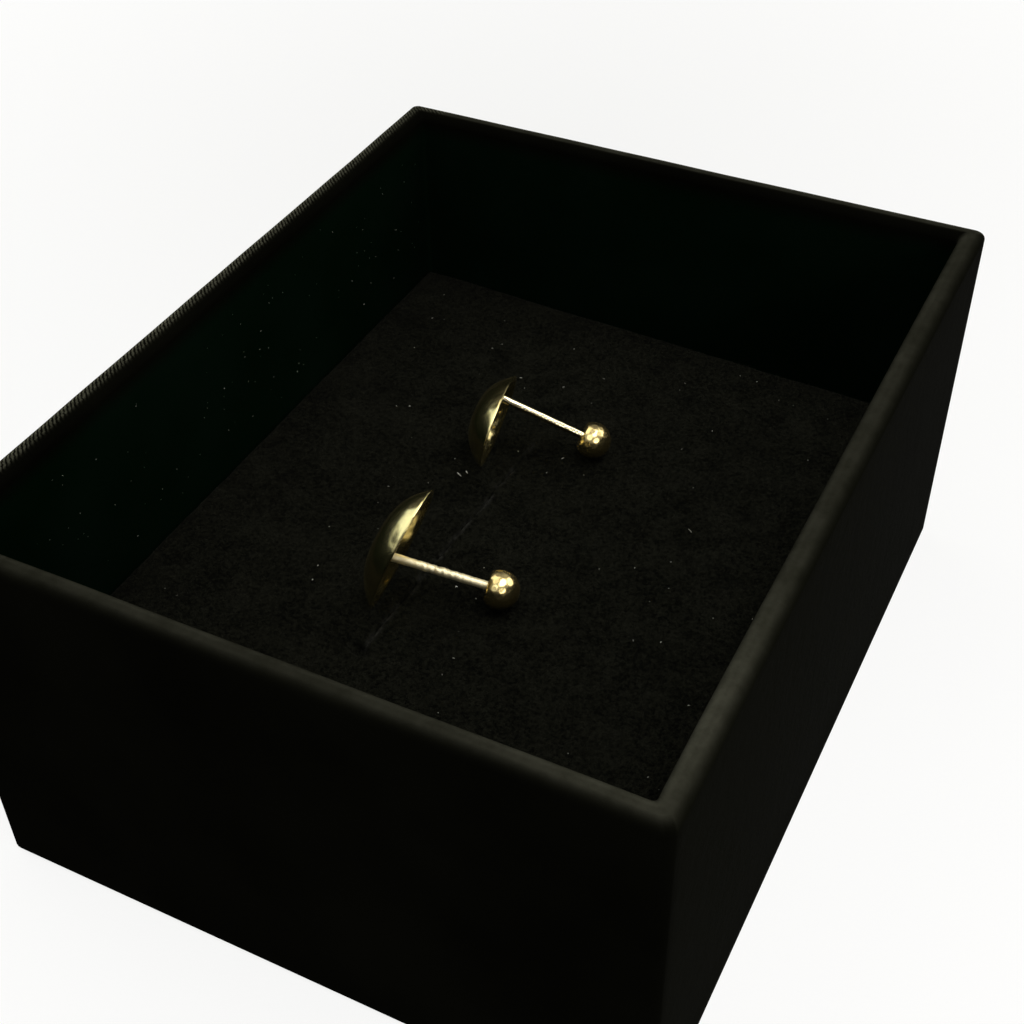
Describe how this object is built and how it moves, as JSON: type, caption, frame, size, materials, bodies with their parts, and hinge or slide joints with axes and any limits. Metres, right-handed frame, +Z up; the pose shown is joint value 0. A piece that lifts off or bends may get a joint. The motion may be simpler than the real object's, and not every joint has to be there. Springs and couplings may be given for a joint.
{
  "type": "pair of stud earrings in a gift box",
  "caption": "Pair of gold stud earrings with hollow oval domes, straight posts and ball screw backs, lying on the flocked foam pad of an open black gift box.",
  "frame": {"origin": "centre of the underside of the gift box, on the surface that it stands on", "axes": "+Z up out of the open box, +Y along the box's long side away from the front wall, +X towards the ball backs' side"},
  "size_m": [0.0716, 0.09, 0.044],
  "materials": {
    "box_paper": "soft black coated paper wrapped over card, faint grain, slight sheen on the folded rims",
    "pad_flock": "black flocked velour over foam, matte with short pile",
    "gold": "polished yellow gold",
    "gold_back": "polished yellow gold"
  },
  "bodies": {
    "box_with_studs": {"gift_box_tray": "box_paper", "foam_pad": "pad_flock", "front_stud": "gold", "rear_stud": "gold"},
    "front_back": {"front_ball_back": "gold_back"},
    "rear_back": {"rear_ball_back": "gold_back"}
  },
  "joints": [
    {"name": "front_back_turn", "type": "hinge", "parent": "box_with_studs", "child": "front_back", "pos_m": [0.00425, -0.01088, 0.0249], "axis": [0.948, 0.2381, -0.2113], "continuous": true},
    {"name": "rear_back_turn", "type": "hinge", "parent": "box_with_studs", "child": "rear_back", "pos_m": [0.00271, 0.01492, 0.0249], "axis": [0.9054, 0.2057, -0.3714], "continuous": true}
  ]
}
